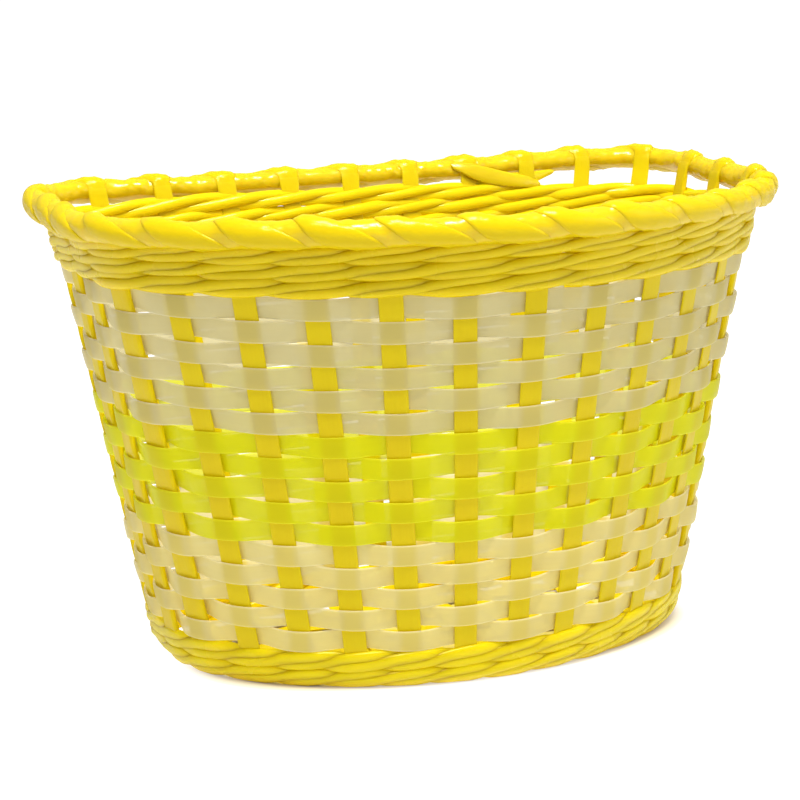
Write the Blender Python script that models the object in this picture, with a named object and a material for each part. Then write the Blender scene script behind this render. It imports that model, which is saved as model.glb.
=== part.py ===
"""Woven plastic basket with a D-shaped plan: flat back, tight back corners, bowed front.

Frame: metres, +Z up, the basket stands on z = 0, the front faces -Y and the flat back faces +Y.
The origin is on the resting plane, under the middle of the basket's overall width and depth.

How it is woven:
  stakes    14 flat strips. Each is a U from the rim, down one wall, across the base and up the
            opposite wall, so the wall has 28 uprights. They are plain woven where they cross in
            the base, and each end is hooked over the rim.
  weavers   16 closed rings of flat strip in plain weave round the uprights.
  wales     2 rows at the foot and 3 at the top. In each row three canes travel outside two
            uprights and inside one; with 28 uprights they chain into one cane that goes
            round three times.
  rim       a round rod ring with a strip wound round it.
"""

import math
from typing import NamedTuple

import bmesh
import bpy
import numpy as np

# ---- heights ----
UPRIGHTS = 28
ROWS = 16
PITCH = 0.0072  # height of one weaver row
WALL_Z = 0.0129  # lower edge of the lowest weaver row
WALL_TOP_Z = WALL_Z + ROWS * PITCH  # upper edge of the highest weaver row
RIM_Z = WALL_TOP_Z + 0.019944

# ---- plan: each pair is the size at WALL_Z and at WALL_TOP_Z ----
HALF_WIDTH = (0.092808, 0.112248)
FRONT_DEPTH = (0.060984, 0.077904)  # from the widest line to the front
BACK_DEPTH = (0.033336, 0.056592)  # from the widest line to the flat back
CORNER_RADIUS = (0.012096, 0.01728)  # back corners
WIDEST_Y = 0.01016  # the widest line stands this far behind the origin
FRONT_POWER = 1.86  # superellipse exponent of the bowed front
FRONT_POINTS, SIDE_POINTS, CORNER_POINTS, BACK_POINTS = 240, 20, 30, 80
OUTLINE_START = 158  # the point of the bowed front, counted from the left, where the outline starts
FIRST_UPRIGHT = 1.78  # place of upright 0 along the outline, in upright spacings
TANGENT_REACH = 0.12  # tangents are measured this far to either side, in upright spacings

UP = np.array([0.0, 0.0, 1.0])


# ---- colours ----
class Plastic(NamedTuple):
    colour: tuple
    roughness: float


STAKE_PLASTIC = Plastic(colour=(0.72, 0.52, 0.03), roughness=0.4)
CANE_PLASTIC = Plastic(colour=(0.78, 0.60, 0.01), roughness=0.3)
CORE_PLASTIC = Plastic(colour=(0.85, 0.66, 0.01), roughness=0.4)
WRAP_PLASTIC = Plastic(colour=(0.85, 0.66, 0.01), roughness=0.25)
WHITE_PLASTIC = Plastic(colour=(0.68, 0.60, 0.27), roughness=0.35)
NEON_PLASTIC = Plastic(colour=(0.74, 0.70, 0.02), roughness=0.35)


def unit(vector):
    return vector / np.linalg.norm(vector)


# ---- the plan and the uprights ----
def outline(z):
    """Closed outline of the wall at height z, counter-clockwise from the front right."""
    share = (z - WALL_Z) / (WALL_TOP_Z - WALL_Z)
    sizes = (HALF_WIDTH, FRONT_DEPTH, BACK_DEPTH, CORNER_RADIUS)
    half, front, back, radius = (low + (high - low) * share for low, high in sizes)

    angle = np.linspace(-math.pi, 0, FRONT_POINTS)
    cos, sin = np.cos(angle), np.sin(angle)
    front_x = half * np.sign(cos) * np.abs(cos) ** (2 / FRONT_POWER)
    front_y = -front * np.abs(sin) ** (2 / FRONT_POWER)

    corner_x, corner_y = half - radius, back - radius  # centre of the right back corner
    side_y = np.linspace(0, corner_y, SIDE_POINTS)[1:]
    turn = np.linspace(0, math.pi / 2, CORNER_POINTS)[1:]
    back_x = np.linspace(corner_x, -corner_x, BACK_POINTS)[1:]

    x = np.concatenate([
        front_x,
        np.full_like(side_y, half),
        corner_x + radius * np.cos(turn),
        back_x,
        -corner_x - radius * np.sin(turn),
        np.full_like(side_y[1:], -half),
    ])
    y = np.concatenate([
        front_y,
        side_y,
        corner_y + radius * np.sin(turn),
        np.full_like(back_x, back),
        corner_y + radius * np.cos(turn),
        side_y[-2::-1],
    ])
    x = np.roll(x, -OUTLINE_START)
    y = np.roll(y, -OUTLINE_START) + WIDEST_Y
    return np.append(x, x[0]), np.append(y, y[0])


def outline_points(z, places):
    """Points of the outline at height z, at these places in upright spacings."""
    x, y = outline(z)
    run = np.concatenate([[0], np.cumsum(np.hypot(np.diff(x), np.diff(y)))])
    wanted = (places / UPRIGHTS % 1.0) * run[-1]
    return np.stack([np.interp(wanted, run, x), np.interp(wanted, run, y), np.full(len(wanted), z)], -1)


def outline_tangents(z, places):
    ahead = outline_points(z, places + TANGENT_REACH)
    tangents = ahead - outline_points(z, places - TANGENT_REACH)
    return tangents / np.linalg.norm(tangents, axis=1)[:, None]


PLACES = np.arange(UPRIGHTS) + FIRST_UPRIGHT
FOOT_POINT = outline_points(0.0, PLACES)
HEAD_POINT = outline_points(RIM_Z, PLACES)
# A strip stands flat, so one direction along the wall serves it from foot to head.
TANGENT_SUM = outline_tangents(0.0, PLACES) + outline_tangents(RIM_Z, PLACES)


def upright(i, z):
    """(point, along the wall, outward, up the wall) of upright i at height z."""
    i %= UPRIGHTS
    share = z / RIM_Z
    point = FOOT_POINT[i] * (1 - share) + HEAD_POINT[i] * share
    tangent = unit(TANGENT_SUM[i])
    outward = unit(np.cross(tangent, unit(HEAD_POINT[i] - FOOT_POINT[i])))
    return point, tangent, outward, np.cross(outward, tangent)


# ---- solids ----
SHARP_ANGLE = math.radians(70)  # smooth pieces keep edges above this sharp
WELD = 1e-7


def plastic_material(name, plastic):
    material = bpy.data.materials.new(name)
    material.use_nodes = True
    shader = material.node_tree.nodes["Principled BSDF"]
    shader.inputs["Base Color"].default_value = (*plastic.colour, 1.0)
    shader.inputs["Roughness"].default_value = plastic.roughness
    return material


def pull(bm, verts, corners):
    """Extrudes the loop of vertices and puts the new ones on the corners, in the loop's order."""
    edges = [
        bm.edges.get((a, b)) or bm.edges.new((a, b))
        for a, b in zip(verts, verts[1:] + verts[:1])
    ]
    made = bmesh.ops.extrude_edge_only(bm, edges=edges)["geom"]
    new = {item for item in made if isinstance(item, bmesh.types.BMVert)}
    pulled = []
    for vert, corner in zip(verts, corners):
        follower = next(e.other_vert(vert) for e in vert.link_edges if e.other_vert(vert) in new)
        follower.co = corner
        pulled.append(follower)
    return pulled


def pull_through(bm, verts, rings):
    for ring in rings:
        verts = pull(bm, verts, ring)
    return verts


def add_object(name, bm, plastic, smooth):
    bmesh.ops.recalc_face_normals(bm, faces=bm.faces[:])
    mesh = bpy.data.meshes.new(name)
    bm.to_mesh(mesh)
    bm.free()
    if smooth:
        mesh.shade_smooth()
        mesh.set_sharp_from_angle(angle=SHARP_ANGLE)
    mesh.materials.append(plastic_material(name + "_plastic", plastic))
    bpy.context.scene.collection.objects.link(bpy.data.objects.new(name, mesh))


def add_bar(name, rings, plastic):
    """A solid drawn through the rings of corners, with flat ends."""
    bm = bmesh.new()
    first = [bm.verts.new(corner) for corner in rings[0]]
    bm.faces.new(first)
    bm.faces.new(pull_through(bm, first, rings[1:]))
    add_object(name, bm, plastic, smooth=False)


def add_hoop(name, rings, plastic, smooth=False):
    """A solid drawn through the rings of corners and closed on itself."""
    bm = bmesh.new()
    first = [bm.verts.new(corner) for corner in rings[0]]
    last = pull_through(bm, first, rings[1:] + rings[:1])
    bmesh.ops.remove_doubles(bm, verts=first + last, dist=WELD)
    add_object(name, bm, plastic, smooth)


def add_sleeve(name, outer, inner, plastic):
    """A pipe drawn through matching outer and inner rings, its wall closed flat at both ends."""
    bm = bmesh.new()
    starts, ends = [], []
    for rings in (outer, inner):
        first = [bm.verts.new(corner) for corner in rings[0]]
        starts.append(first)
        ends.append(pull_through(bm, first, rings[1:]))
    for a, b in (starts, ends):
        for k in range(len(a)):
            following = (k + 1) % len(a)
            bm.faces.new((a[k], a[following], b[following], b[k]))
    add_object(name, bm, plastic, smooth=True)


def strip_ring(point, wide, thick, width, thickness):
    """Four corners of a strip's section, given the directions of its width and thickness."""
    return [
        point + wide * (width / 2) * a + thick * (thickness / 2) * b
        for a, b in ((-1, -1), (1, -1), (1, 1), (-1, 1))
    ]


# ---- weavers ----
WEAVER_W, WEAVER_T = 0.0068, 0.0006
WEAVER_SWING = 0.00105  # how far a weaver passes outside or inside an upright
WEAVER_SWING_FLAT = 0.00172  # the same on the flat back, where it turns at one point
FLAT_TURN = math.radians(4)  # the wall counts as flat where it turns less than this
STRAND_HOLD = 0.0045  # half the length over which a strand runs parallel to the upright it passes
NEON_ROWS = range(7, 12)


def wall_turn(i, z):
    """Angle the wall turns through from the upright before i to the one after."""
    before, after = upright(i - 1, z)[1], upright(i + 1, z)[1]
    return math.acos(float(np.clip(before @ after, -1, 1)))


def weaver_rings(row):
    """Row 1 is the highest. Even rows pass outside the even uprights."""
    z = WALL_Z + (ROWS + 0.5 - row) * PITCH
    rings = []
    for i in range(UPRIGHTS):
        point, tangent, outward, up = upright(i, z)
        side = -1 if (i + row) % 2 else 1
        if wall_turn(i, z) < FLAT_TURN:
            swing, steps = WEAVER_SWING_FLAT, (0.0,)
        else:
            swing, steps = WEAVER_SWING, (-STRAND_HOLD, STRAND_HOLD)
        for step in steps:
            middle = point + outward * side * swing + tangent * step
            rings.append(strip_ring(middle, up, outward, WEAVER_W, WEAVER_T))
    return rings


def add_weavers():
    for row in range(1, ROWS + 1):
        plastic = NEON_PLASTIC if row in NEON_ROWS else WHITE_PLASTIC
        add_hoop(f"weaver_{row:02d}", weaver_rings(row), plastic)


# ---- wales ----
class WaleBand(NamedTuple):
    rows: int
    pitch: float
    z: float  # middle of the lowest row
    radius: float  # of the cane


FOOT_WALES = WaleBand(rows=2, pitch=0.0062, z=0.00375, radius=0.00138)
TOP_WALES = WaleBand(rows=3, pitch=0.00515, z=WALL_TOP_Z + 0.0030, radius=0.00122)
WALE_SWING = 0.0023  # how far a cane passes outside or inside an upright
WALE_ROUNDS = 3
CANE_SIDES = 4


def wale_rings(z, pitch, radius):
    """One cane that goes round three times: outside and low, outside and high, then inside."""
    phase_step = math.radians(120)
    rise = pitch / 4 / math.sin(phase_step / 2)
    corners = [math.radians(360 * k / CANE_SIDES) for k in range(CANE_SIDES)]
    rings = []
    for n in range(WALE_ROUNDS * UPRIGHTS):
        point, tangent, outward, up = upright(n, z)
        phase = math.radians(120 * n - 60)
        swing = WALE_SWING if math.cos(phase) > 0 else -WALE_SWING
        spacing = np.linalg.norm(upright(n + 1, z)[0] - point)
        for step in (-STRAND_HOLD, STRAND_HOLD):
            lift = rise * math.sin(phase + phase_step * step / spacing)
            middle = point + tangent * step + outward * swing + up * lift
            rings.append([
                middle + radius * (outward * math.cos(q) + up * math.sin(q)) for q in corners
            ])
    return rings


def add_wales(name, band):
    for k in range(band.rows):
        rings = wale_rings(band.z + k * band.pitch, band.pitch, band.radius)
        add_hoop(f"{name}_{k + 1}", rings, CANE_PLASTIC, smooth=True)


# ---- rim ----
RIM_OUT = 0.0040  # the rim's axis stands this far outside the line of the uprights
RIM_HOLD = 0.0060  # half the length over which the rim runs straight at an upright
CORE_R, CORE_SIDES = 0.0024, 5
WRAP_IN, WRAP_OUT, WRAP_SIDES = 0.0030, 0.0036, 6  # inner and outer radius
WRAP_SEAM = 7  # the wrap starts and ends between this upright and the next
WRAP_GAP = 0.0006  # between the two ends of the wrap


def rim_centre(i):
    point, tangent, _, _ = upright(i, RIM_Z)
    return point + np.cross(tangent, UP) * RIM_OUT, tangent


def rim_path():
    """Corners of the rim's axis, once round from the first upright after the wrap's seam."""
    path = []
    for n in range(UPRIGHTS):
        centre, tangent = rim_centre(WRAP_SEAM + 1 + n)
        path += [centre - tangent * RIM_HOLD, centre + tangent * RIM_HOLD]
    return path


def round_rings(path, radius, sides, closed):
    """Rings of corners round a level path, mitred at its corners."""
    angles = [math.radians(360 * (s + 0.5) / sides) for s in range(sides)]
    count = len(path)
    rings = []
    for n, point in enumerate(path):
        before = unit(point - path[n - 1]) if n or closed else unit(path[1] - point)
        after = unit(path[(n + 1) % count] - point) if n < count - 1 or closed else before
        out_before, out_after = np.cross(before, UP), np.cross(after, UP)
        mitre = unit(out_before + out_after)
        stretch = 1 / float(mitre @ out_before)
        rings.append([
            point + radius * (mitre * stretch * math.cos(q) + UP * math.sin(q)) for q in angles
        ])
    return rings


def add_rim_core():
    add_hoop("rim_core", round_rings(rim_path(), CORE_R, CORE_SIDES, True), CORE_PLASTIC, smooth=True)


def add_rim_wrap():
    path = rim_path()
    seam = (path[-1] + path[0]) / 2
    half_gap = unit(path[0] - path[-1]) * WRAP_GAP / 2
    path = [seam + half_gap, *path, seam - half_gap]
    outer, inner = (round_rings(path, r, WRAP_SIDES, False) for r in (WRAP_OUT, WRAP_IN))
    add_sleeve("rim_wrap", outer, inner, WRAP_PLASTIC)


# ---- stakes ----
STAKE_W, STAKE_T = 0.0076, 0.0006
HOOK_R = 0.00485
HOOK_ANGLES = (-40, 0, 45, 90, 135, 180)  # degrees round the rim, from outward through up
STRAIGHT_TOP_Z = TOP_WALES.z + (TOP_WALES.rows - 0.5) * TOP_WALES.pitch
STRAIGHT_FOOT_Z = 0.0020
BEND_Z, BEND_INSET, BEND_RISE = 0.0008, 0.00035, 0.7  # slanted section between wall and base

FOOT_INSET = 0.0016  # from the line of the uprights to where the base starts
FOOT_TWIST = 0.5  # weight of the base direction against the wall's at the foot
BASE_MID, BASE_SWING = 0.00075, 0.00045  # height of the base weave, and its rise and fall
BASE_HOLD = 0.0045  # half the length over which a stake is level at a crossing
SIDE_CLEAR = 0.0104  # from the back wall to the nearest a left-right stake may lie
SIDE_SHIFT = 0.0030  # the front left-right stake lies this far behind its uprights
SIDE_INSET = 0.0036  # from the foot to where a left-right stake runs straight

FIRST_BACK = 5  # the first upright on the back
SIDES = [(1 + k, 18 - k) for k in range(4)]  # left-right stakes, by upright
BACKS = [(FIRST_BACK + k, (UPRIGHTS - k) % UPRIGHTS) for k in range(10)]  # back-front stakes


def stake_ring(point, wide, thick):
    return strip_ring(point, wide, thick, STAKE_W, STAKE_T)


def wall_rings(i):
    """Rings of upright i from its hooked end over the rim down to the edge of the base."""
    rings = []
    centre, tangent = rim_centre(i)
    level_out = np.cross(tangent, UP)
    for angle in map(math.radians, HOOK_ANGLES):
        ray = level_out * math.cos(angle) + UP * math.sin(angle)
        rings.append(stake_ring(centre + ray * HOOK_R, tangent, ray))
    # Over the top the outward face of the hook becomes the inward face of the upright.
    for z in (STRAIGHT_TOP_Z, STRAIGHT_FOOT_Z):
        point, _, outward, _ = upright(i, z)
        rings.append(stake_ring(point, tangent, -outward))
    bend = upright(i, BEND_Z)[0] - level_out * BEND_INSET
    rings.append(stake_ring(bend, tangent, unit(-level_out + UP * BEND_RISE)))
    return rings


def base_end(i):
    point, tangent, _, _ = upright(i, 0.0)
    return point - np.cross(tangent, UP) * FOOT_INSET + UP * STAKE_T / 2, tangent


def base_run(pair):
    """The level line of a stake across the base. A left-right stake keeps clear of the back."""
    ends = [base_end(i)[0] for i in pair]
    if pair in BACKS:
        return ends
    limit = FOOT_POINT[FIRST_BACK][1] - SIDE_CLEAR
    shift = SIDE_SHIFT if pair == SIDES[0] else 0.0
    return [
        np.array([x - math.copysign(SIDE_INSET, x), min(y + shift, limit), z]) for x, y, z in ends
    ]


def crossing(run, other):
    """Where two level lines cross, as a share of the first."""
    ahead, other_ahead, offset = run[1] - run[0], other[1] - other[0], other[0] - run[0]
    return (
        (offset[0] * other_ahead[1] - offset[1] * other_ahead[0])
        / (ahead[0] * other_ahead[1] - ahead[1] * other_ahead[0])
    )


def base_rings(pair, wide, others, number, lift):
    """The run across the base, over and under the others in turn."""
    start, end = run = base_run(pair)
    ahead = unit(end - start)
    stops = [
        (crossing(run, base_run(other)), lift if (m + number) % 2 else -lift)
        for m, other in enumerate(others)
    ]
    rings = []
    for share, side in sorted(stops):
        height = UP * (BASE_MID + side * BASE_SWING - STAKE_T / 2)
        point = start + (end - start) * share + height
        for step in (-BASE_HOLD, BASE_HOLD):
            rings.append(stake_ring(point + ahead * step, wide, UP))
    if pair in SIDES:
        rings = [stake_ring(start, wide, UP), *rings, stake_ring(end, wide, UP)]
    return rings


def foot_ring(foot, tangent, wide):
    return stake_ring(foot, unit(tangent * np.sign(tangent @ wide) + wide * FOOT_TWIST), UP)


def stake_rings(pair, others, number, lift):
    """One U: hook, wall, base with its crossings, wall, hook."""
    (start_foot, start_tangent), (end_foot, end_tangent) = base_end(pair[0]), base_end(pair[1])
    start, end = base_run(pair)
    wide = np.cross(UP, unit(end - start))
    if start_tangent @ wide <= 0:
        wide = -wide
    far_wall = wall_rings(pair[1])[::-1]
    if end_tangent @ wide < 0:
        # Swap the corners across the width, so the strip doesn't twist.
        far_wall = [[b, a, d, c] for a, b, c, d in far_wall]
    return [
        *wall_rings(pair[0]),
        foot_ring(start_foot, start_tangent, wide),
        *base_rings(pair, wide, others, number, lift),
        foot_ring(end_foot, end_tangent, wide),
        *far_wall,
    ]


def add_stakes():
    for k, pair in enumerate(SIDES):
        add_bar(f"stake_side_{k + 1}", stake_rings(pair, BACKS, k, 1), STAKE_PLASTIC)
    for k, pair in enumerate(BACKS):
        add_bar(f"stake_back_{k + 1:02d}", stake_rings(pair, SIDES, k, -1), STAKE_PLASTIC)


def main():
    for obj in list(bpy.data.objects):
        bpy.data.objects.remove(obj, do_unlink=True)
    add_stakes()
    add_weavers()
    add_wales("foot_wale", FOOT_WALES)
    add_wales("top_wale", TOP_WALES)
    add_rim_core()
    add_rim_wrap()


main()
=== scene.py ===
"""Woven plastic basket: uprights, weavers, canes and a wound rim as fine meshes in the CAD's frame.

The basket stands on z = 0. Its curved front faces -y, its flat back +y and its ends -x and +x.
Places round the wall count upright spacings, anticlockwise from above: uprights 1 to 4 stand
at the right end (+x), 5 to 14 along the back, 15 to 18 at the left end, the rest in front.
Lengths are in metres.
"""

import math

import bpy
import numpy as np
from mathutils import Matrix, Vector


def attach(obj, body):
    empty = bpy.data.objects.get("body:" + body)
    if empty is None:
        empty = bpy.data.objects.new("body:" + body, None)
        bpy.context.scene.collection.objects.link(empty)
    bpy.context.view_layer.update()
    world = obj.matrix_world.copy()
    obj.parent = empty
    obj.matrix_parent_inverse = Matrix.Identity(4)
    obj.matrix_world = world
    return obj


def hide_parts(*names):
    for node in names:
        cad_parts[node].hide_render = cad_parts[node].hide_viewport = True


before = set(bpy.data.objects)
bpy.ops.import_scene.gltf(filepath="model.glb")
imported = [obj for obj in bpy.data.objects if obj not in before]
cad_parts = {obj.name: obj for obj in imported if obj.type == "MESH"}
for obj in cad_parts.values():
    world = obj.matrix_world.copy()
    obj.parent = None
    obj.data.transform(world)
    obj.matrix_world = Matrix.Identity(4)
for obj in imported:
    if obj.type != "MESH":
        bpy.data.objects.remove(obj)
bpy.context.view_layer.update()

# ---------------------------------------------------------------- layout
UPRIGHTS = 28
ROWS = 16
PITCH = 0.0072  # height of one row of weaving
WALL_Z = 0.0129  # bottom of the weave
WEAVE_HEIGHT = ROWS * PITCH
WEAVE_TOP = WALL_Z + WEAVE_HEIGHT
RIM_Z = WALL_Z + 18.77 * PITCH

# The outline at the bottom and at the top of the weave; depths count from the widest line.
HALF_WIDTH = (12.89 * PITCH, 15.59 * PITCH)
FRONT_DEPTH = (8.47 * PITCH, 10.82 * PITCH)
BACK_DEPTH = (4.63 * PITCH, 7.86 * PITCH)
WIDEST_Y = 0.01016
FRONT_POWER = 1.86  # power of the superellipse of the front
FRONT_POINTS = 240
CORNER = 2.4 * PITCH  # radius of the back corners at the top of the weave
START_SHARE = 0.66  # the outline starts at this share of the front
FIRST_UPRIGHT = 1.78  # and upright 0 stands this many spacings further

# Each stake strip runs down the wall, across the base and up again, between two uprights.
SIDES = [(1 + k, 18 - k) for k in range(4)]
BACKS = [(5 + k, (28 - k) % 28) for k in range(10)]
UP = np.array([0.0, 0.0, 1.0])
PER = 72  # samples of the outline per upright spacing


# ---------------------------------------------------------------- curves and vectors
def blur(values, sigma, reach, closed=False):
    """Gaussian blur along the first axis of an array with one or two axes."""
    window = np.exp(-0.5 * (np.arange(-reach, reach + 1) / sigma) ** 2)
    window /= window.sum()
    if closed:
        before, after = values[-reach:], values[:reach]
    else:
        before, after = np.repeat(values[:1], reach, 0), np.repeat(values[-1:], reach, 0)
    padded = np.concatenate([before, values, after])
    columns = padded.reshape(len(padded), -1).T
    made = np.stack([np.convolve(column, window, "valid") for column in columns], -1)
    return made.reshape(values.shape)


def soften(values, sigma):
    return blur(values, sigma, int(3 * sigma) + 1)


def smoothstep(start, end, x):
    share = np.clip((np.asarray(x, float) - start) / (end - start), 0, 1)
    return share * share * (3 - 2 * share)


def plateau(start, full, ending, over, x):
    """Rises from 0 to 1 between start and full, and falls back between ending and over."""
    return smoothstep(start, full, x) * (1 - smoothstep(ending, over, x))


def unit(vectors):
    return vectors / np.linalg.norm(vectors, axis=-1, keepdims=True)


def square_to(vectors, ahead):
    """Unit vectors at right angles to ahead."""
    return unit(vectors - ahead * (vectors * ahead).sum(-1, keepdims=True))


def closed_ahead(centre):
    """Directions along a closed line."""
    return unit(np.roll(centre, -1, 0) - np.roll(centre, 1, 0))


def open_ahead(centre):
    """Directions along an open line."""
    return unit(np.gradient(centre, axis=0))


def lengths_along(centre):
    steps = np.linalg.norm(np.diff(centre, axis=0), axis=1)
    return np.concatenate([[0], np.cumsum(steps)])


def round_end(tip):
    """Share of the width left near a round end; tip is the distance in end radii."""
    return np.sqrt(np.clip(1 - (1 - np.clip(tip, 0, 1)) ** 2, 0.03, 1))


def wave(count, seed, low=1, high=5):
    """A smooth periodic wobble of about unit size, as a function of the place."""
    rng = np.random.default_rng(seed)
    orders = np.arange(low, high + 1) * count
    sizes = rng.normal(size=len(orders)) / math.sqrt(len(orders))
    phases = rng.uniform(0, 2 * math.pi, len(orders))
    return lambda place: sum(
        size * np.cos(2 * math.pi * order * np.asarray(place, float) / UPRIGHTS + phase)
        for size, order, phase in zip(sizes, orders, phases)
    ) * 1.2


# ---------------------------------------------------------------- wall surface
def outline(z):
    """The wall's outline at height z, sampled evenly from upright 0 and softened at its corners."""
    share = (z - WALL_Z) / WEAVE_HEIGHT
    half, front, back = (
        low + (high - low) * share for low, high in (HALF_WIDTH, FRONT_DEPTH, BACK_DEPTH)
    )
    radius = CORNER * (1 + 0.3 * (share - 1))
    inner, depth = half - radius, back - radius  # centres of the back corners
    angle = np.linspace(-math.pi, 0, FRONT_POINTS)
    cosine, sine = np.cos(angle), np.sin(angle)
    power = 2 / FRONT_POWER
    front_x = half * np.sign(cosine) * np.abs(cosine) ** power
    front_y = -front * np.abs(sine) ** power
    side = np.linspace(0, depth, 20)[1:]
    turn = np.linspace(0, math.pi / 2, 30)[1:]
    across = np.linspace(inner, -inner, 80)[1:]
    # Front, right end, right corner, back, left corner, left end.
    x = np.concatenate([
        front_x, np.full(19, half), inner + radius * np.cos(turn),
        across, -inner - radius * np.sin(turn), np.full(18, -half),
    ])
    y = np.concatenate([
        front_y, side, depth + radius * np.sin(turn),
        np.full(79, back), depth + radius * np.cos(turn), side[::-1][1:],
    ])
    start = int(FRONT_POINTS * START_SHARE)
    x, y = np.roll(x, -start), np.roll(y, -start) + WIDEST_Y
    x, y = np.append(x, x[0]), np.append(y, y[0])
    run = np.concatenate([[0], np.cumsum(np.hypot(np.diff(x), np.diff(y)))])
    stops = (np.arange(UPRIGHTS * PER) / PER + FIRST_UPRIGHT) / UPRIGHTS % 1.0 * run[-1]
    even = np.stack([np.interp(stops, run, x), np.interp(stops, run, y)], -1)
    return blur(even, sigma=7.0, reach=24, closed=True)


LOW, HIGH = outline(0.0), outline(RIM_Z)


def periodic(table, place):
    """Values of a periodic table (one entry per 1/PER upright spacing) at the places."""
    scaled = np.asarray(place, float) * PER
    index = np.floor(scaled).astype(int)
    share = scaled - index
    before, after = table[index % len(table)], table[(index + 1) % len(table)]
    share = share.reshape(share.shape + (1,) * (table.ndim - 1))
    return before * (1 - share) + after * share


def knots(pairs):
    """Periodic table of a smooth curve through (place, value in thousandths) knots."""
    places = np.array([pair[0] for pair in pairs])
    values = np.array([pair[1] for pair in pairs]) * 0.001
    grid = np.arange(UPRIGHTS * PER) / PER
    laps = np.concatenate([places - UPRIGHTS, places, places + UPRIGHTS])
    return blur(np.interp(grid, laps, np.tile(values, 3)), sigma=30.0, reach=90, closed=True)


# The uprights of the front don't stand quite evenly: thousandths of a spacing.
NUDGE = knots([
    (4, 0), (14, 0), (16.5, -40), (18, -140), (19, -60), (20, -42), (21, -62), (22, -72),
    (23, -28), (24, -8), (25, 8), (26, 44), (27, 16), (28, -14), (29.5, 0),
])
# The rim stands a little high at the back right and sags at the front left: millimetres.
RIM_LIFT = knots([
    (0.5, 0.2), (3.05, -0.2), (4.4, 1.2), (5.0, 1.6), (6.4, 1.45), (8.4, 0.1), (10.4, -0.2),
    (12.3, -0.9), (14.1, -0.4), (16.0, -0.9), (18.0, -1.9), (19.6, -1.2), (20.9, 0.1),
    (23.3, 0.0), (24.8, 0.4), (26.2, 0.4),
])
# Height change of the topmost cane: millimetres.
WALE_SINK = knots([
    (0, 0), (2.0, -0.4), (4.0, -3.2), (5.5, -3.6), (7.0, -2.2), (8.6, 0.3), (11, 0.7),
    (13.0, 0.4), (14.4, -1.2), (16, -0.6), (18, -1.4), (20, -0.6), (24, 0),
])
# How full the inside of the rim is: thousandths.
FULL = knots([
    (0, 900), (3.0, 900), (4.2, 0), (13.6, 0), (14.8, 900), (20, 900), (26, 900),
])


def wall(place, z):
    """(point, along, outward, up) of the middle surface of the wall."""
    place, z = np.broadcast_arrays(np.asarray(place, float), np.asarray(z, float))
    place = place + periodic(NUDGE, place)
    share = (z / RIM_Z)[..., None]
    low, high = periodic(LOW, place), periodic(HIGH, place)
    point = np.concatenate([low * (1 - share) + high * share, z[..., None]], -1)
    reach = 0.06  # the direction is taken between the places this far to each side
    low_along, high_along = (
        periodic(table, place + reach) - periodic(table, place - reach) for table in (LOW, HIGH)
    )
    flat = low_along * (1 - share) + high_along * share
    along = unit(np.concatenate([flat, np.zeros(flat.shape[:-1] + (1,))], -1))
    up = np.concatenate([(high - low) / RIM_Z, np.ones(along.shape[:-1] + (1,))], -1)
    outward = unit(np.cross(along, up))
    return point, along, outward, np.cross(outward, along)


def ends(place):
    """1 along the two ends of the basket and 0 along the front and the back."""
    place = np.asarray(place, float) % UPRIGHTS
    return plateau(0.2, 0.8, 4.2, 4.8, place) + plateau(14.2, 14.8, 18.2, 18.8, place)


# ---------------------------------------------------------------- meshes
# Section of a strip: (across, out) in shares of half its width and half its thickness.
STRIP = np.array([
    (0.82, 1), (0.3, 1), (-0.3, 1), (-0.82, 1), (-0.96, 0.74), (-1, 0), (-0.96, -0.74),
    (-0.82, -1), (-0.3, -1), (0.3, -1), (0.82, -1), (0.96, -0.74), (1, 0), (0.96, 0.74),
])


def shading(count, ghost=0.0, painted_shade=0.0):
    """Shade values per ring: x brings in the ghost colour and y darkens the tone as painted shade.
    """
    made = np.zeros((count, 3))
    made[:, 0] = ghost
    made[:, 1] = painted_shade
    return made


def grid_mesh(name, points, closed_along, strand, shade):
    """Quads over points (rings, corners, 3), each ring closed; capped if not closed along."""
    rings, corners = points.shape[:2]
    index = np.arange(rings * corners).reshape(rings, corners)
    after = np.roll(index, -1, 0) if closed_along else index[1:]
    first = index if closed_along else index[:-1]
    quads = np.stack([first, np.roll(first, -1, 1), np.roll(after, -1, 1), after], -1)
    quads = quads.reshape(-1, 4)
    faces = quads.tolist()
    if not closed_along:
        faces += [index[0][::-1].tolist(), index[-1].tolist()]
    # Faces look outwards: the signed volume of the quads tells which way they wind.
    p0, p1, p2, p3 = (points.reshape(-1, 3)[quads[:, j]] for j in range(4))
    if (np.cross(p1 - p0, p2 - p0) * p0).sum() + (np.cross(p2 - p0, p3 - p0) * p0).sum() < 0:
        faces = [face[::-1] for face in faces]
    mesh = bpy.data.meshes.new(name)
    mesh.from_pydata(points.reshape(-1, 3).tolist(), [], faces)
    for key, values in (("strand", strand), ("shade", shade)):
        made = mesh.attributes.new(key, "FLOAT_VECTOR", "POINT")
        flat = np.ascontiguousarray(values.reshape(-1, 3), np.float32).ravel()
        made.data.foreach_set("vector", flat)
    mesh.validate()
    mesh.shade_smooth()
    obj = bpy.data.objects.new(name, mesh)
    bpy.context.scene.collection.objects.link(obj)
    return obj


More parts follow.
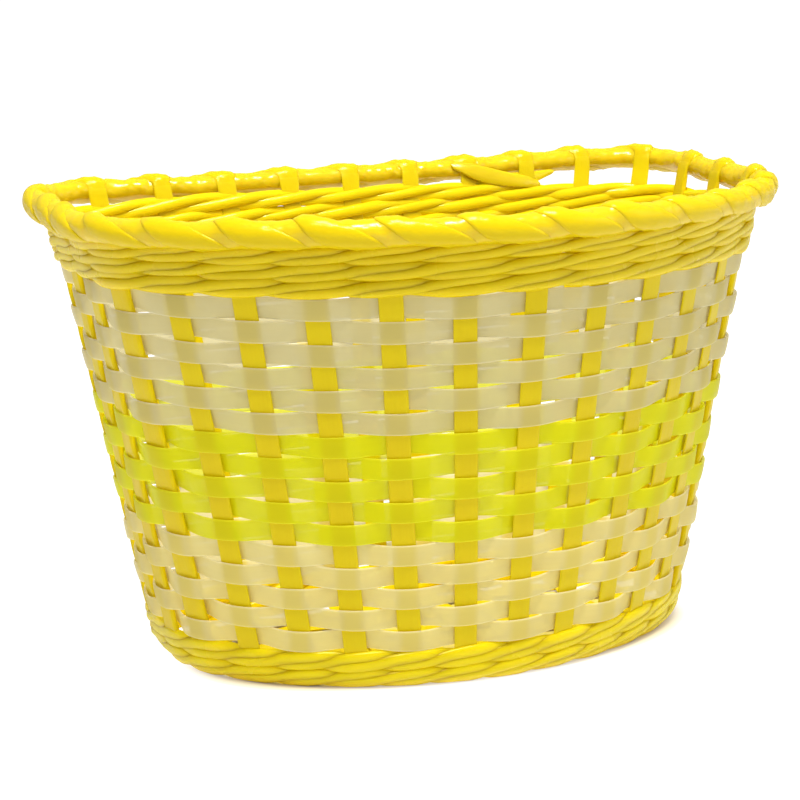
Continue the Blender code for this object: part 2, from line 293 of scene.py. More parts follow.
def strip_mesh(name, centre, ahead, normal, width, thick, crown, closed, shade,
               lower=1.0, bend=None):
    """A flat strip. The crown bows the upper face, and the lower face by the share lower.

    Its strand attribute holds metres along, metres across, and 1 to -1 through the thickness.
    bend holds the arguments that lay its ends on the rim.
    """
    count = len(centre)
    width, thick, crown = (
        np.broadcast_to(value, (count,))[:, None] for value in (width, thick, crown)
    )
    wide = np.cross(ahead, normal)
    across = STRIP[:, 0] * width / 2
    bow = crown * (1 - STRIP[:, 0] ** 2) * np.where(STRIP[:, 1] >= 0, 1.0, lower)
    out = STRIP[:, 1] * thick / 2 + bow
    points = centre[:, None] + wide[:, None] * across[..., None] + normal[:, None] * out[..., None]
    if bend is not None:
        points = onto_rim(points, out, *bend)
    points[..., 2] = np.maximum(points[..., 2], 0.0)
    run = np.broadcast_to(lengths_along(centre)[:, None], across.shape)
    strand = np.stack([run, across, np.broadcast_to(STRIP[:, 1], across.shape)], -1)
    return grid_mesh(name, points, closed, strand, np.broadcast_to(shade[:, None], points.shape))


def cane_mesh(name, centre, normal, radius, flat, sides, shade):
    """A closed round cane, its normal radius scaled by flat.

    It is pressed flat where it meets the ground, and painted darker there as shade.
    """
    ahead = closed_ahead(centre)
    normal = square_to(normal, ahead)
    side = np.cross(ahead, normal)
    angle = np.arange(sides) * 2 * math.pi / sides
    cosine = np.cos(angle)
    radius = np.broadcast_to(radius, (len(centre),))[:, None, None]
    points = centre[:, None] + radius * (
        normal[:, None] * (cosine * flat)[None, :, None]
        + side[:, None] * np.sin(angle)[None, :, None]
    )
    size = points.shape[:2]
    strand = np.stack([
        np.broadcast_to(lengths_along(centre)[:, None], size),
        np.broadcast_to(angle * 0.002, size),
        np.broadcast_to(cosine, size),
    ], -1)
    shade = np.broadcast_to(shade[:, None], points.shape).copy()
    # Painted light: the side that faces into the basket is marked for the material's brighter ghost
    # colour.
    shade[..., 0] += smoothstep(0.1, -0.6, cosine)[None, :]
    # Painted shade: the cane is darker near the ground.
    shade[..., 1] += 0.45 * smoothstep(0.0034, 0.0004, points[..., 2])
    under = smoothstep(0.0036, 0.0, points[..., 2]) * smoothstep(-0.6, 0.4, cosine)[None, :]
    points -= normal[:, None] * (0.0013 * under)[..., None]
    points[..., 2] = np.maximum(points[..., 2], 0.0)
    return grid_mesh(name, points, True, strand, shade)


def dress(obj, material, node):
    obj.data.materials.append(material)
    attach(obj, "root")
    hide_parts(node)


# ---------------------------------------------------------------- materials
def add_node(tree, kind, inputs, **settings):
    """A shader node; each input is given a value or the socket that feeds it."""
    made = tree.nodes.new("ShaderNode" + kind)
    for key, value in settings.items():
        setattr(made, key, value)
    for key, value in inputs.items():
        if isinstance(value, bpy.types.NodeSocket):
            tree.links.new(value, made.inputs[key])
        else:
            made.inputs[key].default_value = value
    return made


def noise(tree, vector, scale, detail):
    inputs = {"Scale": scale, "Detail": detail, "Vector": vector}
    return add_node(tree, "TexNoise", inputs).outputs["Fac"]


def math_node(tree, operation, *values):
    return add_node(tree, "Math", dict(enumerate(values)), operation=operation).outputs[0]


def map_range(tree, value, start, end, low=0.0, high=1.0):
    """Maps start..end to low..high."""
    inputs = {"From Min": start, "From Max": end, "To Min": low, "To Max": high, "Value": value}
    return add_node(tree, "MapRange", inputs).outputs["Result"]


def mix_colour(tree, factor, first, second, **settings):
    inputs = {"Factor": factor, "A": first, "B": second}
    return add_node(tree, "Mix", inputs, data_type="RGBA", **settings).outputs["Result"]


def mix_shader(tree, factor, first, second):
    return add_node(tree, "MixShader", {"Fac": factor, 1: first, 2: second}).outputs[0]


def plastic(name, base, other, rough, streak, bump, glow, gloss, clear=0.0, ghost=None,
            edge_light=None, soft=0.0, fine_scale=900.0, tint=0.40):
    """Moulded plastic: streaks along the strand, cloudy tones, fine bumps.

    base and other are the two tones and streak the share of the streaks between them; glow is
    the share of light that comes through; gloss and tint set the sheen; clear is the
    see-through share; ghost is the colour where shade.x is 1; edge_light is a painted highlight,
    a lighter tone along the strand's edges; soft is the share of light that spreads below the skin.
    """
    material = bpy.data.materials.new(name)
    material.use_nodes = True
    tree = material.node_tree
    shader = tree.nodes["Principled BSDF"]

    strand = add_node(tree, "Attribute", {}, attribute_name="strand").outputs["Vector"]
    shade = add_node(tree, "Attribute", {}, attribute_name="shade").outputs["Vector"]
    where = add_node(tree, "TexCoord", {}).outputs["Object"]
    stretch = (60.0, 1400.0, 1.0)  # noise cells per metre along and across the strand
    scaled = add_node(tree, "VectorMath", {0: strand, 1: stretch}, operation="MULTIPLY")
    lines = noise(tree, scaled.outputs["Vector"], scale=1.0, detail=3.0)
    cloud = noise(tree, where, scale=55.0, detail=4.0)
    fine = noise(tree, where, scale=fine_scale, detail=2.0)

    blend = math_node(tree, "MULTIPLY_ADD", lines, streak, cloud)
    spread = map_range(tree, blend, start=0.32 + streak * 0.4, end=0.68 + streak * 0.6)
    colour = mix_colour(tree, spread, base, other)
    split = add_node(tree, "SeparateXYZ", {0: shade}).outputs
    if ghost:
        colour = mix_colour(tree, split["X"], colour, ghost)
    # Painted highlight: a lighter tone along the strand's edges.
    if edge_light:
        sides = add_node(tree, "SeparateXYZ", {0: strand})
        size = math_node(tree, "ABSOLUTE", sides.outputs["Y"])
        edge_light_share = map_range(tree, size, start=0.0029, end=0.0036, high=0.75)
        colour = mix_colour(tree, edge_light_share, colour, edge_light)
    # shade.y darkens the plastic with painted shade where it lies in a fold or crease, where a cane
    # passes inside and where it meets the ground.
    painted_shade_tint = (1.0, 0.80, 0.55, 1.0)
    colour = mix_colour(tree, split["Y"], colour, painted_shade_tint, blend_type="MULTIPLY")
    tree.links.new(colour, shader.inputs["Base Color"])

    # The sheen fades towards the outline, where a bright room would wash the colour out.
    facing = add_node(tree, "LayerWeight", {"Blend": 0.5}).outputs["Facing"]
    sheen = map_range(tree, facing, start=0.45, end=0.80, low=gloss, high=0.03)
    tree.links.new(sheen, shader.inputs["Specular IOR Level"])
    shader.inputs["Specular Tint"].default_value = (1.0, 0.80 + 0.2 * tint + 0.04, tint, 1.0)
    shader.inputs["Subsurface Weight"].default_value = soft
    shader.inputs["Subsurface Radius"].default_value = (0.85, 1.0, 0.15)
    shader.inputs["Subsurface Scale"].default_value = 0.004

    # Ghosted parts without a painted edge highlight are smoother.
    polish = -0.45 if ghost and not edge_light else 0.0
    roughness = map_range(tree, cloud, 0.0, 1.0, low=max(rough - 0.08, 0.05), high=rough + 0.10)
    polished = math_node(tree, "MULTIPLY_ADD", split["X"], polish, 1.0)
    worn = math_node(tree, "MULTIPLY", roughness, polished)
    tree.links.new(worn, shader.inputs["Roughness"])
    height = math_node(tree, "MULTIPLY_ADD", lines, 0.5, fine)
    bumps = add_node(tree, "Bump", {"Strength": bump, "Distance": 0.0003, "Height": height})
    tree.links.new(bumps.outputs["Normal"], shader.inputs["Normal"])

    lit = add_node(tree, "BsdfTranslucent", {"Color": colour}).outputs[0]
    surface = mix_shader(tree, glow, shader.outputs["BSDF"], lit)
    if clear:
        # Only the near face of a strip holds light back, so one strip counts once.
        see = add_node(tree, "BsdfTransparent", {}).outputs[0]
        backfacing = add_node(tree, "NewGeometry", {}).outputs["Backfacing"]
        share = map_range(tree, backfacing, 0.0, 1.0, low=clear)
        surface = mix_shader(tree, share, surface, see)
    tree.links.new(surface, tree.nodes["Material Output"].inputs["Surface"])
    return material


STAKE = plastic(
    "stake_yellow", base=(0.79, 0.61, 0.003, 1), other=(0.76, 0.57, 0.002, 1),
    ghost=(0.78, 0.57, 0.004, 1),
    rough=0.34, streak=0.5, bump=0.25, glow=0.15, gloss=0.35, soft=0.3,
)
WEAVER_LOOK = dict(rough=0.36, streak=0.3, bump=0.15, glow=0.34, gloss=0.25)
# Painted light: one milky white plastic in two copies; the top rows' copy is darker as painted
# shade, the low rows' copy lighter and yellower as painted light.
WHITE_SHADED = plastic(
    "milky_white_shaded", base=(0.67, 0.605, 0.32, 1), other=(0.64, 0.57, 0.29, 1),
    ghost=(0.70, 0.60, 0.13, 1), edge_light=(0.86, 0.80, 0.56, 1), clear=0.10, **WEAVER_LOOK,
)
WHITE_LIT = plastic(
    "milky_white_lit", base=(0.79, 0.705, 0.31, 1), other=(0.75, 0.66, 0.28, 1),
    ghost=(0.80, 0.68, 0.13, 1), edge_light=(0.92, 0.85, 0.54, 1), clear=0.10, **WEAVER_LOOK,
)
NEON = plastic(
    "neon_yellow", base=(0.735, 0.745, 0.005, 1), other=(0.705, 0.705, 0.003, 1),
    ghost=(0.75, 0.66, 0.005, 1), edge_light=(0.86, 0.85, 0.03, 1), clear=0.06, **WEAVER_LOOK,
)
# Painted light: the canes' inner sides, which shade.x marks, take a brighter ghost colour, standing
# in for the extra light they hold beside the sides that face out.
CANE_LOOK = dict(
    ghost=(1.0, 0.72, 0.004, 1), streak=0.6, bump=0.25, glow=0.15, gloss=0.5, soft=0.6,
)
# Painted light: one yellow cane plastic in two copies; the top wale's copy is darker as painted
# shade, the foot wale's copy lighter as painted light.
TOP_CANE_SHADED = plastic(
    "top_cane_shaded_yellow", base=(0.88, 0.65, 0.003, 1), other=(0.84, 0.61, 0.002, 1),
    rough=0.26, **CANE_LOOK,
)
FOOT_CANE_LIT = plastic(
    "foot_cane_lit_yellow", base=(1.0, 0.76, 0.002, 1), other=(0.97, 0.71, 0.002, 1),
    rough=0.24, **CANE_LOOK,
)
RIM = plastic(
    "rim_yellow", base=(0.77, 0.565, 0.004, 1), other=(0.73, 0.53, 0.003, 1),
    rough=0.19, streak=0.5, bump=0.25, glow=0.10, gloss=0.55, soft=0.5,
    fine_scale=260.0, tint=0.7,
)

# ---------------------------------------------------------------- weavers
WEAVE_STEP = 18  # rings per upright spacing
WEAVER_WIDTH = 0.00704
WEAVER_THICK = 0.00066
# At the top row and at the bottom row:
SWING = (0.00095, 0.00120)  # how far a weaver swings in and out
TIP = (0.00018, 0.00026)  # how far it swings down and up
NEON_ROWS = range(7, 12)


def weaver(row):
    """One closed strip woven in and out of the uprights; row 1 is the top one."""
    count = UPRIGHTS * WEAVE_STEP
    place = np.arange(count) / WEAVE_STEP
    side = 1 if row % 2 == 0 else -1
    beat = np.cos(math.pi * place)
    swing = np.interp(row, (1, ROWS), SWING) * (1 + 0.12 * wave(3, 100 + row)(place))
    swing = swing * (1 + 0.60 * ends(place))
    offset = side * swing * beat * (1.22 - 0.22 * beat * beat)
    z = WALL_Z + (ROWS + 0.5 - row) * PITCH + 0.00014 * wave(2, 200 + row, 1, 6)(place)
    z = z - side * beat * np.interp(row, (1, ROWS), TIP)
    point, _, outward, up = wall(place, z)
    centre = point + outward * offset[:, None]
    ahead = closed_ahead(centre)
    roll = np.radians(2.2) * wave(2, 300 + row, 1, 8)(place)
    wide = unit(up * np.cos(roll)[:, None] + outward * np.sin(roll)[:, None])
    normal = unit(np.cross(wide, ahead))
    normal *= np.sign((normal * outward).sum(-1, keepdims=True))
    width = WEAVER_WIDTH * (1 + 0.012 * wave(3, 400 + row)(place))
    # Each float bows away from the wall, so its crown changes side with it.
    crown = 0.00013 * np.sign(side * beat) * np.abs(beat) ** 0.5
    # The uprights show through.
    near_upright = 1 - smoothstep(0.165 - 0.075, 0.165 + 0.075, np.abs(place - np.round(place)))
    obj = strip_mesh(
        f"strap_{row:02d}", centre, ahead, normal, width, WEAVER_THICK, crown,
        closed=True, shade=shading(count, ghost=near_upright * 0.6),
    )
    neon = row in NEON_ROWS
    # The top rows take the darker painted-shade copy of the white, the low rows the lighter
    # painted-light copy.
    material = NEON if neon else WHITE_SHADED if row < NEON_ROWS[0] else WHITE_LIT
    dress(obj, material, f"weaver_{row:02d}")


for row in range(1, ROWS + 1):
    weaver(row)

# ---------------------------------------------------------------- wales
WALE_LAPS = 3  # each wale is one cane that goes round three times
FOOT_ROWS, FOOT_Z, FOOT_PITCH = 2, 0.0033, 0.0058
TOP_ROWS, TOP_Z, TOP_PITCH = 3, WEAVE_TOP + 0.0030, 0.00515
# swing: in and out; flat: thickness over width; step: rings per upright spacing;
# push: outwards at the ends of the basket; inset: inwards all round.
FOOT_WALE = dict(
    material=FOOT_CANE_LIT, pitch=FOOT_PITCH, radius=0.00214, swing=0.00058, flat=0.66, step=12,
    push=0.0, inset=0.0002,
)
TOP_WALE = dict(
    material=TOP_CANE_SHADED, pitch=TOP_PITCH, radius=0.00180, swing=0.00084, flat=0.62, step=11,
    push=0.0014, inset=0.0,
)


def wale(name, node, middle_z, seed, sink_share, material, pitch, radius, swing, flat, step,
         push, inset):
    """A cane woven round the uprights, a third of a turn further on each one."""
    rise = pitch / 4 / math.sin(math.radians(60))
    count = WALE_LAPS * UPRIGHTS * step
    place = np.arange(count) / step
    phase = np.radians(120 * place - 60)
    offset = swing * np.tanh(2.2 * (np.cos(phase) + 0.5))
    offset = offset * (1 + 0.10 * wave(4, seed)(place)) + push * ends(place) - inset
    z = middle_z + rise * np.sin(phase) + periodic(WALE_SINK, place) * sink_share
    z = z + 0.00018 * np.sin(place * 2 * math.pi * 5 / (WALE_LAPS * UPRIGHTS) + seed)
    z = z + 0.00015 * wave(5, seed + 1)(place / WALE_LAPS)
    point, _, outward, _ = wall(place, z)
    centre = point + outward * offset[:, None]
    thick = radius * (1 + 0.06 * wave(4, seed + 2)(place / WALE_LAPS))
    # Painted shade: the cane is darker where it passes inside the uprights.
    painted_shade = 1 - smoothstep(-0.6, 0.6, offset / swing)
    shade = shading(count, painted_shade=0.08 * painted_shade)
    dress(cane_mesh(name, centre, outward, thick, flat, 10, shade), material, node)


for k in range(FOOT_ROWS):
    wale(
        f"foot_cane_{k + 1}", f"foot_wale_{k + 1}", FOOT_Z + k * FOOT_PITCH,
        seed=40 + k, sink_share=0.0, **FOOT_WALE,
    )
for k in range(TOP_ROWS):
    wale(
        f"top_cane_{k + 1}", f"top_wale_{k + 1}", TOP_Z + k * TOP_PITCH,
        seed=60 + k, sink_share=(k + 0.3) / 2.3, **TOP_WALE,
    )

# ---------------------------------------------------------------- rim surface
# Angles round the rim are in degrees: 0 faces outwards, 90 up and 180 inwards.
RIM_OUT = 0.0040  # the rim's axis lies this far outside the wall
RIM_SPACING = 0.0250  # upright spacing along the rim
RIM_RADIUS = 0.0046  # radius at which a band's slope is taken
BAND_RINGS = 60


def uneven(size, seed):
    """One random value within size of 0 for each band."""
    return size * np.random.default_rng(seed).uniform(-1, 1, UPRIGHTS)


BAND_WIDE = 1 + uneven(0.12, 31)
BAND_HIGH = 1 + uneven(0.30, 32)
BAND_HIGH[:5] = (1.25, 1.5, 1.5, 1.4, 1.25)
BAND_SHIFT = uneven(0.05, 33)
RIM_PLACES = np.arange(UPRIGHTS * PER) / PER
LUMPS = [wave(1, 911 + k, 92, 168)(RIM_PLACES) for k in range(3)]


def rim_axis(place):
    """(centre, along, outward) of the rim's axis."""
    place = np.asarray(place, float)
    point, along, _, _ = wall(place, np.full(place.shape, RIM_Z))
    outward = unit(np.cross(along, UP))
    lift = periodic(RIM_LIFT, place)
    return point + outward * RIM_OUT + lift[..., None] * UP, along, outward


def tube(place, deg):
    """Radius of the wound rim between the bands: thin inside the back, fuller outside."""
    inside = 0.0031 + 0.0009 * periodic(FULL, place)
    left_end = plateau(14.6, 16.2, 17.0, 18.4, place % UPRIGHTS)
    outside = (0.00405 - inside) * smoothstep(120, 40, deg) * (1 - smoothstep(-60, -125, deg))
    return inside + outside + 0.0007 * left_end * smoothstep(60, -60, deg)


def band_shift(deg):
    """How far along the rim a band has travelled, in upright spacings, at this angle."""
    return 0.92 * smoothstep(122, -125, deg) ** 1.1


def band_half(deg):
    """Half the width of a band."""
    return (
        0.0033 + 0.0012 * smoothstep(150, 95, deg)
        + 0.0016 * smoothstep(75, 5, deg) - 0.0016 * smoothstep(-60, -125, deg)
    )


def band_high(deg):
    """How far the rim swells under a band."""
    return (
        0.00012 + 0.00096 * smoothstep(160, 98, deg)
        - 0.00043 * smoothstep(70, 0, deg) - 0.00065 * smoothstep(-55, -125, deg)
    )


def lumps(place, deg):
    """Small dents and lumps of the moulded strip, mostly over the top of the rim."""
    angle = np.radians(deg)
    first, second, third = (periodic(table, place) for table in LUMPS)
    total = first * np.cos(2 * angle) + second * np.sin(3 * angle) + third * np.cos(angle)
    return 0.00009 * total * (0.35 + 0.65 * smoothstep(-10, 50, deg))


def rim_surface(place, deg):
    """(radius of the rim's skin, swollen where a band lies on it; share the band covers)."""
    turned = (band_shift(deg - 1) - band_shift(deg + 1)) / math.radians(2)
    slope = turned * RIM_SPACING / RIM_RADIUS
    start = place - band_shift(deg)
    owner = np.round(start).astype(int) % UPRIGHTS
    off = (start - np.round(start) - BAND_SHIFT[owner] * smoothstep(110, 0, deg)) * RIM_SPACING
    off = np.abs(off) / np.sqrt(1 + slope**2)
    off = off / (band_half(deg) * BAND_WIDE[owner])
    swell = band_high(deg) * BAND_HIGH[owner] * (1 - smoothstep(0.40, 1.30, off))
    return tube(place, deg) + swell + lumps(place, deg), 1 - smoothstep(0.85, 1.05, off)


def onto_rim(points, out, place, share, tail):
    """Lays flat rings of a band on the skin of the rim; its tail sinks into the skin."""
    place = np.broadcast_to(place[:, None], out.shape).copy()
    for _ in range(2):
        centre, along, _ = rim_axis(place)
        place += ((points - centre) * along).sum(-1) / RIM_SPACING
    centre, along, outward = rim_axis(place)
    ray = square_to(points - centre, along)
    deg = np.degrees(np.arctan2(ray[..., 2], (ray * outward).sum(-1)))
    deg = np.where(deg < -150, deg + 360, deg)
    radius = rim_surface(place, deg)[0] - 0.00024 - 0.0006 * tail[:, None] + out
    bent = centre + ray * radius[..., None]
    return points + (bent - points) * share[:, None, None]


# ---------------------------------------------------------------- stakes
# Every piece of a stake is a tuple of channels with one entry per ring:
# centre, normal, width, thickness, crown, place, share bent onto the rim, share of tail.
STAKE_THICK = 0.0007
BASE_WIDTH = 0.0076
SIDE_CLEAR = 0.0104  # the side strips keep this far in front of the base's back edge
SIDE_SHIFT = 0.0030  # the first one lies this far towards the back
SIDE_INSET = 0.0036  # and each is this much shorter at both ends


def band_rings(upright):
    """One stake's end, from inside the rim over the top and diagonally down round the outside."""
    angle = np.radians(np.linspace(178, -126, BAND_RINGS))
    deg = np.degrees(angle)
    high = band_high(deg) * BAND_HIGH[upright]
    place = upright + band_shift(deg) + BAND_SHIFT[upright] * smoothstep(110, 0, deg)
    radius = tube(place, deg) + high + 0.0004 * smoothstep(140, 178, deg)
    centre, _, outward = rim_axis(place)
    ray = outward * np.cos(angle)[:, None] + UP * np.sin(angle)[:, None]
    on_rim = smoothstep(178, 140, deg)
    return (
        centre + ray * radius[:, None], ray, 2 * band_half(deg) * BAND_WIDE[upright],
        np.full(BAND_RINGS, STAKE_THICK), 0.00030 * on_rim, place, on_rim,
        smoothstep(-70, -126, deg),
    )


def wall_run(upright, rng):
    """(centre, normal, width) of one upright from the rim down to the foot."""
    rim_height = RIM_Z + float(periodic(RIM_LIFT, [upright])[0])
    z = np.arange(rim_height - 0.0035, 0.0026, -0.0014)
    row = (WALL_Z + (ROWS - 0.5) * PITCH - z) / PITCH
    inside_rows = (z < WEAVE_TOP) & (z > WALL_Z)
    # The stake gives way a little to each strap that passes it.
    offset = -0.00016 * (-1) ** (upright + 1) * np.cos(math.pi * row) * inside_rows
    offset = offset + 0.0002 * smoothstep(rim_height - 0.012, rim_height - 0.004, z)
    slow, fast, phase = rng.uniform(-1, 1), rng.uniform(-1, 1), rng.uniform(0, 6)
    place = upright + 0.010 * slow * np.sin(z / 0.05 * 2 + phase)
    place = place + 0.008 * fast * np.sin(z / 0.021 + phase)
    point, _, outward, _ = wall(place, z)
    at_end = float(ends(upright))
    width = 0.0075 + 0.0014 * at_end
    width = width - (0.0012 + 0.0014 * at_end) * smoothstep(RIM_Z - 0.016, RIM_Z - 0.006, z)
    width = width - 0.0003 * smoothstep(0.03, 0.0, z)
    return point + outward * offset[:, None], -outward, width


def base_end(upright):
    """Where an upright meets the base."""
    point, along, _, _ = wall([upright], [0.0])
    return point[0] - np.cross(along[0], UP) * 0.0016


def base_run(pair):
    """Start and end of a strip across the base."""
    start, end = base_end(pair[0]), base_end(pair[1])
    if pair in BACKS:
        return start, end
    back = wall([5.0], [0.0])[0][0][1] - SIDE_CLEAR
    shift = SIDE_SHIFT if pair == SIDES[0] else 0.0
    return [
        np.array([p[0] - math.copysign(SIDE_INSET, p[0]), min(p[1] + shift, back), p[2]])
        for p in (start, end)
    ]


def crossing(start, end, other_start, other_end):
    """Share of the way from start to end at which the other line crosses."""
    line, other, gap = end - start, other_end - other_start, other_start - start
    return (gap[0] * other[1] - gap[1] * other[0]) / (line[0] * other[1] - line[1] * other[0])


def base_line(pair, others, number, lift):
    """Centres of a strip across the base, over and under the strips it crosses."""
    start, end = base_run(pair)
    stops = sorted(
        (crossing(start, end, *base_run(other)), lift * (1 if (m + number) % 2 else -1))
        for m, other in enumerate(others)
    )
    share = np.linspace(0.0, 1.0, int(np.linalg.norm(end - start) / 0.0015))
    stop_at = np.array([0.0] + [stop for stop, _ in stops] + [1.0])
    level = np.array([-1.0] + [float(value) for _, value in stops] + [-1.0])
    index = np.clip(np.searchsorted(stop_at, share) - 1, 0, len(stop_at) - 2)
    part = (share - stop_at[index]) / (stop_at[index + 1] - stop_at[index])
    part = smoothstep(0.2, 0.8, part)
    line = start + (end - start) * share[:, None]
    line[:, 2] = 0.00082 + 0.00045 * (level[index] * (1 - part) + level[index + 1] * part)
    first, last = (base_end(upright) + UP * 0.0006 for upright in pair)
    return np.concatenate([[first], line[1:-1], [last]])


def plain_piece(centre, normal, width, thick, place):
    """Channels of a piece away from the rim."""
    size = len(centre)
    none = np.zeros(size)
    return (
        centre, normal, width, np.full(size, thick), none, np.full(size, float(place)), none, none
    )


def backwards(channels):
    return tuple(values[::-1] for values in channels)


def resample(values, old, new):
    if values.ndim == 1:
        return np.interp(new, old, values)
    return np.stack([np.interp(new, old, column) for column in values.T], -1)


def stake(name, node, pair, others, number, lift):
    """A strip round the rim, down one upright, across the base, up the other and round again."""
    rng = np.random.default_rng(500 + pair[0] * 31 + pair[1])
    first, last = pair
    wall_thick = STAKE_THICK + 0.0011 * float(ends(first))
    line = base_line(pair, others, number, lift)
    size = len(line)
    pieces = [
        backwards(band_rings(first)),
        plain_piece(*wall_run(first, rng), wall_thick, first),
        plain_piece(line, np.tile(UP, (size, 1)), np.full(size, BASE_WIDTH), STAKE_THICK, first),
        plain_piece(*backwards(wall_run(last, rng)), wall_thick, last),
        band_rings(last),
    ]
    channels = [np.concatenate(parts) for parts in zip(*pieces)]
    run = lengths_along(channels[0])
    even = np.arange(0, run[-1], 0.00045)
    channels = [soften(resample(values, run, even), 2.0) for values in channels]
    # Round ends, and fewer rings where the strip runs straight.
    tip = np.minimum(even, even[-1] - even) / 0.0022
    channels[2] = channels[2] * round_end(tip)
    ahead = open_ahead(channels[0])
    turning = np.linalg.norm(np.gradient(ahead, axis=0), axis=1)
    cost = np.clip(soften(turning, 3.0) / 0.05, 0.28, 1.6)
    cost[tip < 1.3] = 1.6
    total = np.cumsum(cost)
    wanted = np.linspace(total[0], total[-1], int(total[-1] / 1.25))
    keep = np.clip(np.unique(np.searchsorted(total, wanted)), 0, len(even) - 1)
    ahead = ahead[keep]
    centre, normal, width, thick, crown, place, share, tail = (
        values[keep] for values in channels
    )
    obj = strip_mesh(
        name, centre, ahead, square_to(normal, ahead), width, thick, crown, closed=False,
        shade=shading(len(centre), ghost=share), lower=0.0, bend=(place, share, tail),
    )
    dress(obj, STAKE, node)


for k, pair in enumerate(SIDES):
    stake(f"side_strip_{k + 1}", f"stake_side_{k + 1}", pair, BACKS, k, lift=1)
for k, pair in enumerate(BACKS):
    stake(f"back_strip_{k + 1:02d}", f"stake_back_{k + 1:02d}", pair, SIDES, k, lift=-1)


# ---------------------------------------------------------------- rim pieces
def rim_rod():
    """The rod inside the rim."""
    steps = UPRIGHTS * 12
    centre, _, outward = rim_axis(np.arange(steps) / 12)
    rod = cane_mesh("rim_rod", centre, outward, 0.0024, 1.0, 12, shading(steps))
    dress(rod, RIM, "rim_core")


def rim_winding():
    """The strip wound round the rod, two turns to each upright spacing."""
    steps, sides = UPRIGHTS * 36, 30
    place = np.arange(steps) / 36
    centre, _, outward = rim_axis(place)
    angle = -math.pi + (np.arange(sides) + 0.5) * 2 * math.pi / sides
    deg = np.degrees(angle)
    turn = 2.0 * place[:, None] - angle[None, :] / (2 * math.pi)
    lap = turn - np.floor(turn)
    relief = 0.00016 * (smoothstep(0.0, 0.12, lap) - smoothstep(0.12, 1.0, lap) * 0.9)
    lumpy = (
        0.00014 * wave(7, 901, 1, 9)(place)[:, None] * np.cos(angle)[None, :]
        + 0.00012 * wave(5, 902, 1, 12)(place)[:, None] * np.sin(angle * 2)[None, :]
    )
    skin, covered = rim_surface(place[:, None] + 0 * angle, deg + 0 * place[:, None])
    covered = covered * plateau(-122, -100, 150, 170, deg)[None, :]
    radius = skin + (relief + lumpy) * (1 - covered) - 0.0002 * covered
    points = centre[:, None] + radius[..., None] * (
        outward[:, None] * np.cos(angle)[None, :, None] + UP * np.sin(angle)[None, :, None]
    )
    run = place[:, None] * RIM_SPACING * np.ones(sides)
    none = np.zeros(run.shape)
    strand = np.stack([run, np.broadcast_to(angle * 0.004, run.shape), none], -1)
    # Painted shade in the crease where each turn of the wound strip begins.
    painted_shade = 0.35 * (1 - smoothstep(0.0, 0.12, lap)) * smoothstep(0.8, 1.0, 1 - lap)
    wrap = grid_mesh("rim_winding", points, True, strand, np.stack([none, painted_shade, none], -1))
    dress(wrap, RIM, "rim_wrap")


def loose(name, start, end, stations):
    """A loose length of strip from one place to another.

    Columns of stations: share of the way, height from the rim's middle, place across the wall
    (outwards positive), width, and how far the strip's face tilts up.
    """
    steps = 72
    way = np.linspace(0, 1, steps)
    place = start + (end - start) * way
    shares, *columns = zip(*stations)
    drop, radial, width, tilt = (
        soften(np.interp(way, shares, column), 3.0) for column in columns
    )
    point, _, outward, _ = wall(place, RIM_Z + periodic(RIM_LIFT, place) + drop)
    centre = point + outward * radial[:, None]
    ahead = open_ahead(centre)
    normal = square_to(unit(UP * tilt[:, None] - outward), ahead)
    width = width * round_end(np.minimum(way, 1 - way) / 0.05)
    obj = strip_mesh(
        name, centre, ahead, normal, width, 0.0008, 0.0004, closed=False, shade=shading(steps)
    )
    dress(obj, RIM, "rim_wrap")


rim_rod()
rim_winding()
# The last end of the wound strip comes off the inside of the back rim, crosses two uprights
# and is tucked into the top canes. A fold of it hangs under the rim there.
loose("rim_strip_end", 8.30, 6.75, [
    (0, 0.0024, 0.0016, 0.0028, 0.8),
    (0.10, 0.0013, -0.0001, 0.0042, 0.45),
    (0.23, -0.0008, -0.0009, 0.0056, 0.15),
    (0.39, -0.0028, -0.0009, 0.0062, 0.05),
    (0.58, -0.0044, -0.0009, 0.0056, 0.1),
    (0.84, -0.0061, -0.0008, 0.0046, 0.25),
    (1.0, -0.0074, 0.0008, 0.0028, 0.2),
])
loose("rim_strip_fold", 8.12, 6.48, [
    (0, -0.0034, 0.0016, 0.0026, 0.0),
    (0.2, -0.0047, 0.0013, 0.0056, 0.1),
    (0.5, -0.0051, 0.0013, 0.0060, 0.2),
    (0.75, -0.0046, 0.0013, 0.0046, 0.1),
    (1.0, -0.0028, 0.0020, 0.0016, 0.0),
])

# ---------------------------------------------------------------- stage
scene = bpy.context.scene


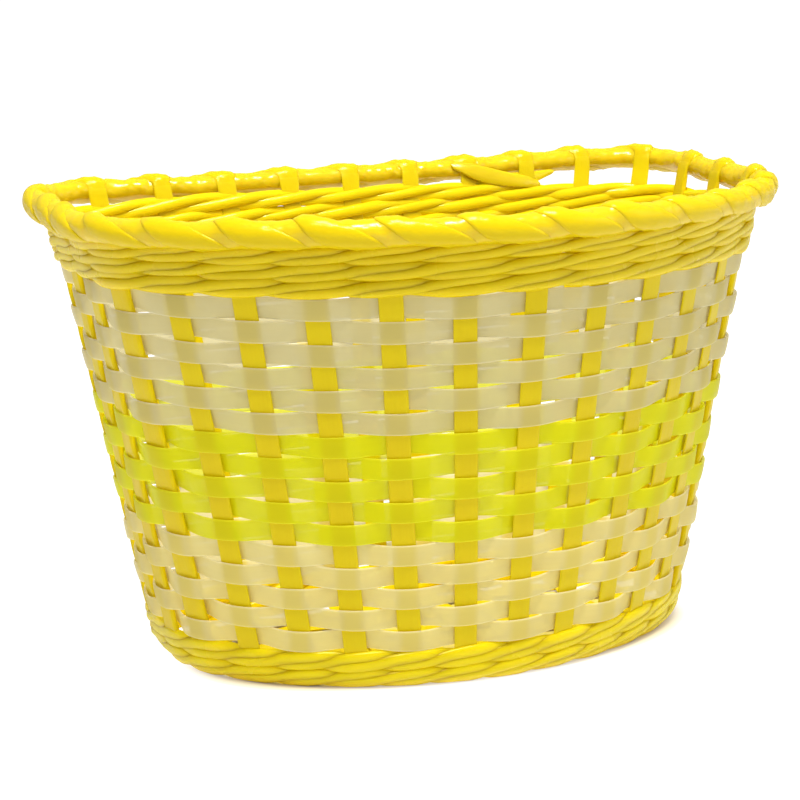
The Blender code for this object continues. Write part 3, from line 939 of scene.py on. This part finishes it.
def floor_paint():
    """White that glows around the basket; under it there is only the light that comes through, with
    a painted yellow tone standing in for that light.
    """
    paint = bpy.data.materials.new("floor_white")
    paint.use_nodes = True
    tree = paint.node_tree
    shader = tree.nodes["Principled BSDF"]
    shader.inputs["Roughness"].default_value = 0.9
    shader.inputs["Specular IOR Level"].default_value = 0.0
    shader.inputs["Emission Color"].default_value = (1, 1, 1, 1)
    # Distance from the middle of the base, 1 at an ellipse as wide and as deep as the base.
    where = add_node(tree, "TexCoord", {}).outputs["Object"]
    scale = (1 / HALF_WIDTH[0], 2 / (FRONT_DEPTH[0] + BACK_DEPTH[0]), 0)
    shrunk = add_node(tree, "VectorMath", {1: scale}, operation="MULTIPLY")
    shift = (0, (FRONT_DEPTH[0] - BACK_DEPTH[0]) / 2 - WIDEST_Y, 0)
    moved = add_node(tree, "VectorMath", {0: where, 1: shift}, operation="ADD")
    tree.links.new(moved.outputs["Vector"], shrunk.inputs[0])
    length = add_node(tree, "VectorMath", {0: shrunk.outputs["Vector"]}, operation="LENGTH")
    distance = length.outputs["Value"]
    glow = map_range(tree, distance, start=0.86, end=0.98, low=0.04, high=0.98)
    around = map_range(tree, distance, start=0.86, end=0.98)
    # Painted light: under the basket the floor is coloured yellow for the light that comes through
    # the basket.
    colour = mix_colour(tree, around, (0.62, 0.52, 0.10, 1), (0.26, 0.26, 0.26, 1))
    tree.links.new(colour, shader.inputs["Base Color"])
    tree.links.new(glow, shader.inputs["Emission Strength"])
    return paint


def add_floor(half, z):
    mesh = bpy.data.meshes.new("floor")
    corners = [(-half, -half, z), (half, -half, z), (half, half, z), (-half, half, z)]
    mesh.from_pydata(corners, [], [(0, 1, 2, 3)])
    floor = bpy.data.objects.new("floor", mesh)
    scene.collection.objects.link(floor)
    mesh.materials.append(floor_paint())


def add_world(strength):
    world = bpy.data.worlds.new("studio")
    world.use_nodes = True
    background = world.node_tree.nodes["Background"]
    background.inputs["Color"].default_value = (1, 1, 1, 1)
    background.inputs["Strength"].default_value = strength
    scene.world = world


def lamp(name, location, target, size, watts):
    data = bpy.data.lights.new(name, "AREA")
    data.shape = "SQUARE"
    data.size = size
    data.energy = watts
    obj = bpy.data.objects.new(name, data)
    obj.location = location
    obj.rotation_mode = "QUATERNION"
    obj.rotation_quaternion = (Vector(target) - Vector(location)).to_track_quat("-Z", "Y")
    scene.collection.objects.link(obj)


def add_camera(azimuth, elevation, roll, target, distance, lens):
    """A camera aimed at the target; the angles are in degrees."""
    azimuth, elevation, roll = (math.radians(value) for value in (azimuth, elevation, roll))
    back = Vector((
        math.sin(azimuth) * math.cos(elevation),
        -math.cos(azimuth) * math.cos(elevation),
        math.sin(elevation),
    ))
    right = Vector((math.cos(azimuth), math.sin(azimuth), 0))
    above = back.cross(right)
    x = right * math.cos(roll) + above * math.sin(roll)
    y = above * math.cos(roll) - right * math.sin(roll)
    data = bpy.data.cameras.new("camera")
    data.sensor_width = 36.0
    data.lens = lens
    data.clip_start = 0.01
    data.clip_end = 50
    camera = bpy.data.objects.new("camera", data)
    turned = Matrix((x, y, back)).transposed().to_4x4()
    camera.matrix_world = Matrix.Translation(Vector(target) + back * distance) @ turned
    scene.collection.objects.link(camera)
    scene.camera = camera


add_floor(half=80.0, z=-0.0002)
add_world(strength=0.42)
lamp("key", location=(-0.35, -0.55, 1.15), target=(0, 0, 0.10), size=0.16, watts=4.6)
lamp("top", location=(0.02, -0.30, 1.2), target=(0, 0.06, 0.12), size=0.36, watts=17.0)
lamp("fill", location=(0.9, -0.6, 0.5), target=(0, 0, 0.08), size=0.6, watts=1.5)
add_camera(
    azimuth=-21.91, elevation=12.38, roll=-0.56,
    target=(-0.00979, 0.01016, 0.07986), distance=0.72288, lens=97.065,
)
scene.view_settings.view_transform = "Standard"
